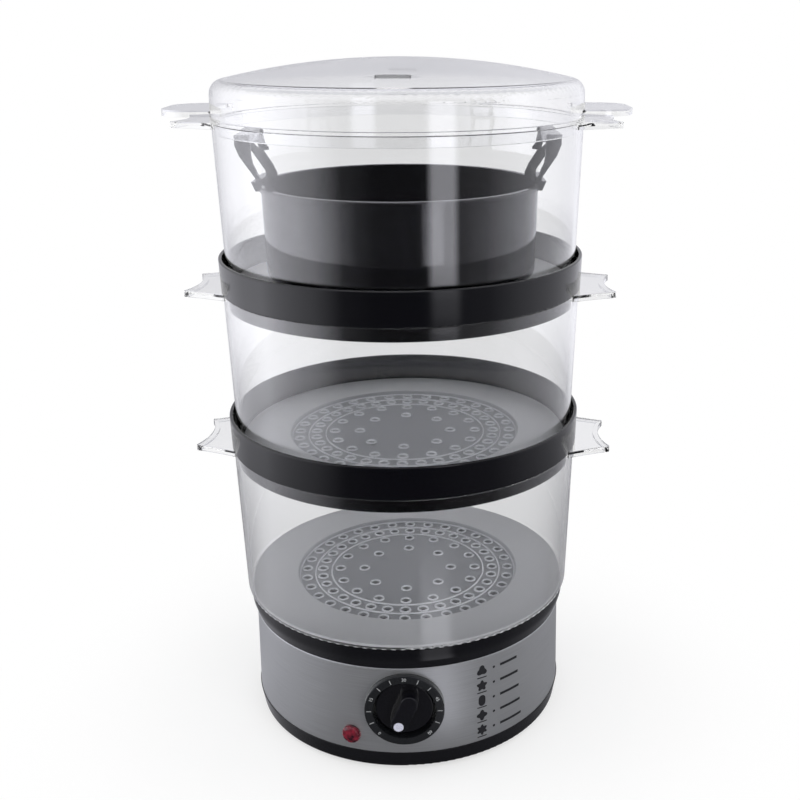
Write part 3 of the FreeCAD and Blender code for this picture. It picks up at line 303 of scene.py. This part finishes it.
def frosted(name):
    """Smoky translucent plastic of the perforated floors, darker in the sunk middle by painted
    shade where the dark tray below would show through.
    """
    made = node_material(name, (0.80, 0.81, 0.83), 0.30, IOR=1.5, Transmission_Weight=0.2)
    bump(made, noise(made, 2500.0, 2.0), 0.01 * MM)
    vary(made, noise(made, 20.0, 0.0), "Roughness", 0.28, 0.33)
    # painted shade: a fade by distance from the axis darkens the sunk middle
    painted_shade_fade = fade(made, axis_distance(made), SUNK_R - SUNK_EDGE, SUNK_R + SUNK_EDGE, 0.0, 1.0)
    tint(made, painted_shade_fade, (0.50, 0.51, 0.54), (0.90, 0.91, 0.94), (0.0, 1.0))
    return made


def round_brush(made):
    """Noise drawn out round the Z axis, as a brush leaves it on a band, as a socket."""
    place = add_node(made, "ShaderNodeTexCoord")
    split = add_node(made, "ShaderNodeSeparateXYZ")
    build = add_node(made, "ShaderNodeCombineXYZ")
    mapping = add_node(made, "ShaderNodeMapping", Scale=(3.0, 1.0, 3200.0))
    texture = add_node(made, "ShaderNodeTexNoise", Scale=1.0, Detail=4.0)
    join(made, place, "Object", split, "Vector")
    angle = math_node(made, "ARCTAN2", split.outputs["Y"], split.outputs["X"])
    link(made, angle, build.inputs["X"])
    join(made, split, "Z", build, "Z")
    join(made, build, "Vector", mapping, "Vector")
    join(made, mapping, "Vector", texture, "Vector")
    return texture.outputs["Fac"]


def brushed_steel(name, colour, roughness):
    """Steel brushed round the Z axis."""
    made = node_material(name, colour, roughness, Metallic=0.85, Anisotropic=0.6)
    lines = round_brush(made)
    vary(made, lines, "Roughness", roughness * 0.8, roughness * 1.25)
    tint(made, lines, [c * 0.9 for c in colour], [min(1.0, c * 1.08) for c in colour])
    bump(made, lines, 0.004 * MM, 0.6)
    return made


def metal(name, colour, roughness):
    """Plain rolled or turned metal with faint marks."""
    made = node_material(name, colour, roughness, Metallic=1.0)
    marks = noise(made, 900.0, 4.0, (1, 1, 6))
    vary(made, marks, "Roughness", roughness * 0.8, roughness * 1.3)
    bump(made, marks, 0.003 * MM)
    return made


def rubber(name, colour):
    """Matt rubber with a fine grain."""
    made = node_material(name, colour, 0.75)
    bump(made, noise(made, 1800.0), 0.03 * MM)
    tint(made, noise(made, 60.0), [c * 0.8 for c in colour], [c * 1.25 for c in colour])
    return made


def faceted_lens(name):
    """Dark red lens with a faceted relief inside, and painted glints: lighter red specks in its
    colour where the relief would catch the light.
    """
    made = node_material(name, (0.12, 0.008, 0.015), 0.08, IOR=1.5, Transmission_Weight=0.25)
    facets_and_glints = noise(made, 330.0, 1.0)
    # painted glints: the colour turns lighter red where the same noise raises the relief
    tint(made, facets_and_glints, (0.02, 0.003, 0.008), (0.26, 0.020, 0.040))
    bump(made, facets_and_glints, 0.35 * MM)
    return made


def pointer_dot(name):
    """Pale metallic dot with a soft satin face."""
    made = node_material(name, (0.72, 0.73, 0.86), 0.35, Metallic=0.3)
    marks = noise(made, 1500.0, 2.0)
    tint(made, marks, (0.55, 0.56, 0.70), (0.85, 0.86, 0.97))
    bump(made, marks, 0.01 * MM)
    return made


def painted_edge_light(name, colour):
    """Smooth opaque edges on the translucent pieces, whose pale or grey colour is painted light and
    shade standing in for how clear edges catch the light.
    """
    made = node_material(name, colour, 0.15)
    vary(made, noise(made, 400.0), "Roughness", 0.10, 0.22)
    return made


FINISHES = {
    "black_plastic": lambda n: moulded(n, (0.0030, 0.0031, 0.0045), 0.10),
    "black_plastic_matte": lambda n: moulded(n, (0.018, 0.018, 0.020), 0.5, 0.8, 0.02),
    "brushed_band": lambda n: brushed_steel(n, (0.62, 0.63, 0.65), 0.40),
    "foot_rubber": lambda n: rubber(n, (0.03, 0.03, 0.03)),
    "screw_steel": lambda n: metal(n, (0.60, 0.60, 0.59), 0.3),
    "silicone": lambda n: rubber(n, (0.50, 0.50, 0.47)),
    "heater_steel": lambda n: brushed_steel(n, (0.60, 0.60, 0.59), 0.28),
    "element_sheath": lambda n: metal(n, (0.16, 0.15, 0.14), 0.55),
    "zinc_steel": lambda n: metal(n, (0.55, 0.56, 0.57), 0.38),
    "aluminium_can": lambda n: metal(n, (0.72, 0.72, 0.72), 0.33),
    "clear_plastic": lambda n: clear(n, (0.975, 0.977, 0.982), ior=1.56, Coat_Weight=0.6),
    "clear_lid": lambda n: clear(n, (0.99, 0.991, 0.996), ior=1.56, Coat_Weight=0.6),
    "frosted_floor": frosted,
    "dial_black": lambda n: moulded(n, (0.010, 0.011, 0.013), 0.26, 0.6, 0.008),
    "knob_black": lambda n: moulded(n, (0.004, 0.004, 0.006), 0.14, 0.6, 0.004),
    "pointer_silver": pointer_dot,
    "timer_case": lambda n: moulded(n, (0.70, 0.68, 0.62), 0.45),
    "red_lens": faceted_lens,
    "lamp_glass": lambda n: clear(n, (0.95, 0.75, 0.6)),
    "gland_rubber": lambda n: rubber(n, (0.025, 0.025, 0.025)),
    "terminal_plastic": lambda n: moulded(n, (0.75, 0.75, 0.72), 0.4),
    "bowl_black": lambda n: moulded(n, (0.005, 0.005, 0.008), 0.07, relief=0.002,
                                    Specular_IOR_Level=1.0),
}


def dress_nodes():
    """Give each CAD node the finish of its slot."""
    finishes = {name: make(name) for name, make in FINISHES.items()}
    for part in frame["record"]["subparts"]:
        piece = frame["nodes"][part["node"]]
        for held in piece.material_slots:
            held.material = finishes[part["material_slot"]]


# ---- added pieces: common --------------------------------------------------------------------

def new_object(name, data):
    """Object in the scene for a mesh, a curve, a lamp or a camera."""
    piece = bpy.data.objects.new(name, data)
    bpy.context.scene.collection.objects.link(piece)
    return piece


def new_piece(name, data, made, body, place=Matrix.Identity(4)):
    """Object for a mesh or a curve, with its finish, riding on a body."""
    piece = new_object(name, data)
    piece.matrix_world = place
    data.materials.append(made)
    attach(piece, body)


def built_piece(name, build, made, body, smooth=False):
    """Piece from a bmesh, which it frees."""
    for face in build.faces:
        face.smooth = smooth
    mesh = bpy.data.meshes.new(name)
    build.to_mesh(mesh)
    build.free()
    new_piece(name, mesh, made, body)


def struck(node, start, direction):
    """Point of a CAD node that a ray meets first."""
    return frame["nodes"][node].ray_cast(start, direction)[1]


# ---- print of the dial -----------------------------------------------------------------------

def dial_centre():
    """Middle of the dial on the face of its ring."""
    low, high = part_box("dial_bezel")
    return Vector(((low[0] + high[0]) / 2, low[1], (low[2] + high[2]) / 2))


def on_dial(radius, degrees):
    """Frame of a mark on the dial's face: X along the ring, Y outwards, Z towards the user."""
    angle = math.radians(degrees)
    outward = Vector((math.sin(angle), 0, math.cos(angle)))
    along = Vector((math.cos(angle), 0, -math.sin(angle)))
    facing = Vector((0, -1, 0))
    place = dial_centre() + outward * radius + facing * PRINT_T
    turn = Matrix((along, outward, facing)).transposed().to_4x4()
    return Matrix.Translation(place) @ turn


def dial_ticks(made):
    """White five-minute strokes between the numbers."""
    build = bmesh.new()
    for step in range(SCALE_STEPS + 1):
        if step % NUMBER_EVERY == 0:
            continue
        place = on_dial(DIAL_RING_R, SCALE_START + step * SCALE_STEP)
        size = Matrix.Diagonal((TICK_W, TICK_LENGTH, PRINT_T, 1))
        bmesh.ops.create_cube(build, size=1, matrix=place @ size)
    built_piece("dial_ticks", build, made, "base")


def dial_number(text, degrees, made):
    """One plain number on the dial, its top pointing outwards."""
    curve = bpy.data.curves.new("dial_mark_" + text, "FONT")
    curve.body = text
    curve.size = NUMBER_H * FONT_PER_HEIGHT
    curve.align_x = "CENTER"
    curve.align_y = "CENTER"
    curve.extrude = PRINT_T / 2
    new_piece("dial_mark_" + text, curve, made, "base", on_dial(DIAL_RING_R, degrees))


def dial_print():
    """Scale of the timer: plain numbers every fifteen minutes, with strokes between them."""
    dark, middle, light = PRINT_WHITE
    white = node_material("print_white", middle, 0.5)
    tint(white, noise(white, 3000.0), dark, light)
    dial_ticks(white)
    for step in range(0, SCALE_STEPS + 1, NUMBER_EVERY):
        dial_number(str(step * STEP_MINUTES), SCALE_START + step * SCALE_STEP, white)


# ---- moulded detail --------------------------------------------------------------------------

def ridge(build, centre, inner, width, height, around=20, across=6):
    """Raised ring round a centre: half of a flattened torus."""
    rings = []
    for i in range(around):
        turn = i * math.tau / around
        outward = Vector((math.cos(turn), math.sin(turn), 0))
        ring = []
        for j in range(across + 1):
            roll = j * math.pi / across
            reach = inner + width / 2 * (1 + math.cos(roll))
            rise = Vector((0, 0, height * math.sin(roll)))
            ring.append(build.verts.new(centre + outward * reach + rise))
        rings.append(ring)
    for i in range(around):
        for j in range(across):
            build.faces.new((rings[i][j], rings[i][j + 1], rings[i - 1][j + 1], rings[i - 1][j]))


def floor_ridges(plate, body, made):
    """Raised rims round the holes of a perforated floor, and the circles between them."""
    top = Vector((0, 0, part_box(plate)[0][2] + PLATE_T))
    build = bmesh.new()
    for ring_r, count in HOLE_RINGS:
        for i in range(count):
            angle = i * math.tau / count
            centre = Vector((math.cos(angle), math.sin(angle), 0)) * ring_r
            ridge(build, top + centre, HOLE_R, HOLE_RIM_W, HOLE_RIM_H)
    for ridge_r in RIDGES:
        ridge(build, top, ridge_r - RIDGE_W / 2, RIDGE_W, RIDGE_H, 180)
    built_piece(plate + "_ridges", build, made, body, smooth=True)


def bead(build, place, around=8, across=5):
    """Ellipsoid: a unit ball placed by a matrix, its poles along X."""
    ends = [build.verts.new(place @ Vector((side, 0, 0))) for side in (-1, 1)]
    turns = [i * math.tau / around for i in range(around)]
    rings = []
    for j in range(1, across):
        pitch = j * math.pi / across
        x, reach = -math.cos(pitch), math.sin(pitch)
        corners = [Vector((x, reach * math.cos(t), reach * math.sin(t))) for t in turns]
        rings.append([build.verts.new(place @ corner) for corner in corners])
    for i in range(around):
        build.faces.new((ends[0], rings[0][i - 1], rings[0][i]))
        build.faces.new((ends[1], rings[-1][i], rings[-1][i - 1]))
        for near, far in zip(rings, rings[1:]):
            build.faces.new((near[i], near[i - 1], far[i - 1], far[i]))


def foot_beads(basket, body, made):
    """Short moulded beads along the foot of a basket's wall."""
    foot_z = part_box(basket)[0][2]
    corners = [v.co for v in frame["nodes"][basket].data.vertices]
    foot_r = max(math.hypot(c.x, c.y) for c in corners if c.z < foot_z + FOOT_ZONE)
    place = Matrix.Translation((0, foot_r - BEAD_INSET, foot_z + BEAD_INSET))
    shape = place @ Matrix.Diagonal((*[side / 2 for side in BEAD_SIZE], 1))
    build = bmesh.new()
    for i in range(BEAD_COUNT):
        bead(build, Matrix.Rotation(i * math.tau / BEAD_COUNT, 4, "Z") @ shape)
    built_piece(basket + "_foot_beads", build, made, body, smooth=True)


def lid_top(y):
    """Height of the lid's surface beside a slot, at a distance from the axis along Y."""
    start = Vector((SLOT_SIZE[0] / 2 + LID_TOP_SIDE, y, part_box("lid")[1][2] + CAST_FROM))
    return struck("lid", start, Vector((0, 0, -1))).z


def painted_slot_frames(made):
    """Painted shading of the two steam slots' clear walls: thin upright frames just inside their
    openings.
    """
    build = bmesh.new()
    for side in (-1, 1):
        loops = []
        for inset in (SLOT_GAP, SLOT_GAP + SLOT_EDGE_T):
            x, half_w = SLOT_SIZE[0] / 2 - inset, SLOT_SIZE[1] / 2 - inset
            near, far = side * SLOT_REACH - half_w, side * SLOT_REACH + half_w
            for drop in (SLOT_DROP, SLOT_DEPTH - SLOT_DROP):
                corners = ((-x, near), (x, near), (x, far), (-x, far))
                loops.append([build.verts.new((x, y, lid_top(y) - drop)) for x, y in corners])
        top, low, inner_top, inner_low = loops
        sides = ((top, low), (low, inner_low), (inner_low, inner_top), (inner_top, top))
        for i in range(4):
            for first, second in sides:
                build.faces.new((first[i - 1], first[i], second[i], second[i - 1]))
    built_piece("lid_slot_edges", build, made, "lid")


# ---- marks on the band -----------------------------------------------------------------------

def band_radius():
    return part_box("steel_band")[1][1]


def on_band(bearing, x, z):
    """Point of the steel band at a bearing and a distance along it, just proud of its face."""
    angle = math.radians(bearing) + x / band_radius()
    outward = Vector((math.sin(angle), -math.cos(angle), 0))
    start = outward * CAST_FROM + Vector((0, 0, z))
    return struck("steel_band", start, -outward) + outward * PRINT_T


def band_patch(build, bearing, centre_z, outline):
    """Printed patch on the band: a fan of triangles inside an outline about its centre."""
    middle = build.verts.new(on_band(bearing, 0, centre_z))
    edge = [build.verts.new(on_band(bearing, x, centre_z + z)) for x, z in outline]
    for i, corner in enumerate(edge):
        build.faces.new((middle, edge[i - 1], corner))


def band_bar(build, bearing, z, length, width, steps=12):
    """Printed bar along the band, from a bearing to the right."""
    pairs = []
    for i in range(steps + 1):
        ends = [on_band(bearing, length * i / steps, z + side * width / 2) for side in (-1, 1)]
        pairs.append([build.verts.new(end) for end in ends])
    for (low_a, high_a), (low_b, high_b) in zip(pairs, pairs[1:]):
        build.faces.new((low_a, low_b, high_b, high_a))


def lobed(radius, lobes, depth, steps=60):
    """Closed wavy outline with a number of lobes."""
    outline = []
    for i in range(steps):
        turn = i * math.tau / steps
        reach = radius * (1 + depth * math.cos(lobes * turn))
        outline.append((reach * math.sin(turn), reach * math.cos(turn)))
    return outline


def band_marks():
    """Rows of plain marks to the right of the timer: a lobed glyph on a line, a dot and a bar."""
    black = node_material("print_black", PRINT_BLACK, 0.5)
    vary(black, noise(black, 2500.0), "Roughness", 0.42, 0.58)
    line_start = GLYPH_BEARING - math.degrees(LINE_LENGTH / 2 / band_radius())
    build = bmesh.new()
    for row in range(MARK_ROWS):
        z = MARK_TOP - row * MARK_STEP
        band_patch(build, GLYPH_BEARING, z, lobed(GLYPH_R, GLYPH_LOBES[row], GLYPH_DEPTH))
        band_bar(build, line_start, z - LINE_DROP, LINE_LENGTH, LINE_W)
        band_patch(build, DOT_BEARING, z, lobed(DOT_R, 0, 0))
        band_bar(build, BAR_BEARING, z, BAR_LENGTHS[row], BAR_W)
    built_piece("band_marks", build, black, "base")


# ---- studio ----------------------------------------------------------------------------------

def camera():
    """Camera at the photograph's viewpoint, its frame shifted as the photograph is cropped."""
    data = bpy.data.cameras.new("camera")
    data.sensor_width = SENSOR_MM
    data.lens = FOCAL_PX / FRAME_PX * SENSOR_MM
    data.shift_x = (FRAME_PX / 2 - AXIS_PX) / FRAME_PX
    data.clip_start = CLIP_START
    piece = new_object("camera", data)
    piece.location = CAMERA_PLACE
    piece.rotation_euler = (math.radians(90 - CAMERA_PITCH), 0, math.radians(-CAMERA_YAW))
    bpy.context.scene.camera = piece


def softbox(name, place, size, watts, aim):
    """Rectangular area lamp aimed at a point; it lights surfaces and is itself never seen."""
    data = bpy.data.lights.new(name, "AREA")
    data.shape = "RECTANGLE"
    data.size, data.size_y = size
    data.energy = watts
    lamp = new_object(name, data)
    lamp.location = place
    lamp.rotation_euler = (Vector(aim) - Vector(place)).to_track_quat("-Z", "Y").to_euler()
    lamp.visible_camera = False
    lamp.visible_transmission = False
    lamp.visible_glossy = False


def panel(name, bearing, distance, size, watts):
    """Softbox that stands on the floor, its bearing counted clockwise from the camera's side."""
    angle = math.radians(bearing)
    place = (-distance * math.sin(angle), -distance * math.cos(angle), size[1] / 2)
    softbox(name, place, size, watts, (0, 0, size[1] / 2))


def tinted(made, mirrored):
    """White, or the cool tint of the room where a mirror shows it."""
    mix = add_node(made, "ShaderNodeMix", data_type="RGBA")
    colours = [socket for socket in mix.inputs if socket.type == "RGBA"]
    colours[0].default_value = (1, 1, 1, 1)
    colours[1].default_value = ROOM_TINT
    link(made, mirrored, mix.inputs[0])
    return [socket for socket in mix.outputs if socket.type == "RGBA"][0]


def seen_by(made):
    """Rays that see the backdrop, as 0 or 1: from the camera, mirrored once, or looking through."""
    path = add_node(made, "ShaderNodeLightPath").outputs
    # refraction sets the glossy flag too, but leaves the glossy depth as it is
    once = math_node(made, "COMPARE", path["Glossy Depth"], 1.0, 0.5)
    mirrored = math_node(made, "MINIMUM", path["Is Glossy Ray"], once)
    through = math_node(made, "GREATER_THAN", path["Is Transmission Ray"], mirrored)
    return path["Is Camera Ray"], mirrored, through


def bearing_of(made, coordinate):
    """Bearing in radians from the front, positive to the right, and height of a place."""
    place = add_node(made, "ShaderNodeTexCoord")
    front = add_node(made, "ShaderNodeMapping", Scale=(1, -1, 1))
    split = add_node(made, "ShaderNodeSeparateXYZ")
    join(made, place, coordinate, front, "Vector")
    join(made, front, "Vector", split, 0)
    angle = math_node(made, "ARCTAN2", split.outputs["X"], split.outputs["Y"])
    return angle, split.outputs["Z"]


def room_tone(made, bearing):
    """What a mirror shows round the object: a dark room in front, bright screens at the sides."""
    turn = add_node(made, "ShaderNodeMapRange", From_Min=-math.pi, From_Max=math.pi)
    ramp = add_node(made, "ShaderNodeValToRGB")
    link(made, bearing, turn.inputs["Value"])
    join(made, turn, "Result", ramp, "Fac")
    stops = ramp.color_ramp.elements
    while len(stops) > 1:
        stops.remove(stops[0])
    stops[0].position = 1.0
    for degrees, tone in ROOM_TONES:
        place = (degrees + 180) / 360
        stop = stops[-1] if degrees == 180 else stops.new(place)
        stop.color = (tone / ROOM_PEAK, tone / ROOM_PEAK, tone / ROOM_PEAK, 1)
    return math_node(made, "MULTIPLY", ramp.outputs["Color"], ROOM_PEAK)


def strip_tone(made, bearing, middle):
    """Narrow strip light about a bearing in degrees."""
    away = math_node(made, "ABSOLUTE", math_node(made, "SUBTRACT", bearing, math.radians(middle)))
    inner, outer = math.radians(STRIP_HALF - STRIP_EDGE), math.radians(STRIP_HALF + STRIP_EDGE)
    return fade(made, away, inner, outer, STRIP_TONE, 0.0)


def show(made, kind, under, output, mirror, behind, white):
    """Lay a backdrop over a shader: white for the camera, toned in mirrors and behind plastic."""
    camera_ray, mirrored, through = seen_by(made)
    glow = add_node(made, kind)
    tone = weighted(made, [(camera_ray, 1.0), (mirrored, mirror), (through, behind)])
    link(made, tone, glow.inputs["Strength"])
    link(made, tinted(made, mirrored), glow.inputs["Color"])
    mix = add_node(made, "ShaderNodeMixShader")
    share = weighted(made, [(camera_ray, white), (mirrored, 1.0), (through, 1.0)])
    link(made, share, mix.inputs[0])
    join(made, under, 0, mix, 1)
    join(made, glow, 0, mix, 2)
    join(made, mix, 0, made.node_tree.nodes[output], "Surface")


def floor():
    """Plain pale table: white to the camera, toned where it is mirrored or seen through a wall."""
    corners = [(x * FLOOR_HALF, y * FLOOR_HALF, 0) for x, y in ((-1, -1), (1, -1), (1, 1), (-1, 1))]
    mesh = bpy.data.meshes.new("floor")
    mesh.from_pydata(corners, [], [(0, 1, 2, 3)])
    piece = new_object("floor", mesh)
    made = node_material("floor", (0.9, 0.9, 0.9), 0.9)
    reach = axis_distance(made)
    bearing = bearing_of(made, "Object")[0]
    glint = math_node(made, "MINIMUM", fade(made, reach, *TABLE_GLINT_RISE),
                      fade(made, reach, *TABLE_GLINT_FALL))
    mirror = weighted(made, [
        (room_tone(made, bearing), fade(made, reach, *TABLE_ROOM_SHADE)),
        (strip_tone(made, bearing, STRIP_BEARING), fade(made, reach, *TABLE_STRIP)),
        (strip_tone(made, bearing, GLINT_BEARING), glint),
        (fade(made, reach, *TABLE_CLOSE_SHADING), 1.0)])
    show(made, "ShaderNodeEmission", shader_of(made), "Material Output",
         mirror, fade(made, reach, *TABLE_BEHIND_SHADE), fade(made, reach, *TABLE_WHITE))
    mesh.materials.append(made)


def world():
    """White sky for the camera, dark and bright sides for mirrors, and an even fill light."""
    made = bpy.data.worlds.new("studio")
    made.use_nodes = True
    fill = made.node_tree.nodes["Background"]
    fill.inputs["Color"].default_value = (1, 1, 1, 1)
    fill.inputs["Strength"].default_value = FILL_TONE
    bearing, height = bearing_of(made, "Generated")
    level = weighted(made, [
        (room_tone(made, bearing), 1.0),
        (strip_tone(made, bearing, STRIP_BEARING), fade(made, height, *SKY_STRIP))])
    mirror = fade(made, height, *SKY_CEILING)
    link(made, level, mirror.node.inputs["To Min"])
    depth = add_node(made, "ShaderNodeLightPath").outputs["Diffuse Depth"]
    inside = fade(made, depth, 0.0, 1.0, THROUGH_TONE, INSIDE_TONE)
    show(made, "ShaderNodeBackground", fill, "World Output", mirror, inside, 1.0)
    bpy.context.scene.world = made


def studio():
    """Table, sky, standing panels and a soft top light, and enough bounces for the clear walls."""
    floor()
    world()
    for row in PANELS:
        panel(*row)
    softbox(*TOP_LAMP)
    cycles = bpy.context.scene.cycles
    cycles.max_bounces = BOUNCES
    cycles.transmission_bounces = BOUNCES
    cycles.glossy_bounces = BOUNCES


camera()
studio()
dress_nodes()
dial_print()
band_marks()
# pale finishes of the ridges and beads are painted highlights; the grey finish of the slot frames
# is painted shading
edges = painted_edge_light("painted_edge_light", RIDGE_PAINTED_HIGHLIGHT)
beads = painted_edge_light("bead_edge", BEAD_PAINTED_HIGHLIGHT)
for tier, body in TIERS:
    floor_ridges(tier + "_floor_plate", body, edges)
    foot_beads(tier + "_basket", body, beads)
painted_slot_frames(painted_edge_light("slot_edge", SLOT_PAINTED_SHADING))
bpy.context.scene.view_settings.view_transform = "Standard"

bpy.context.view_layer.update()
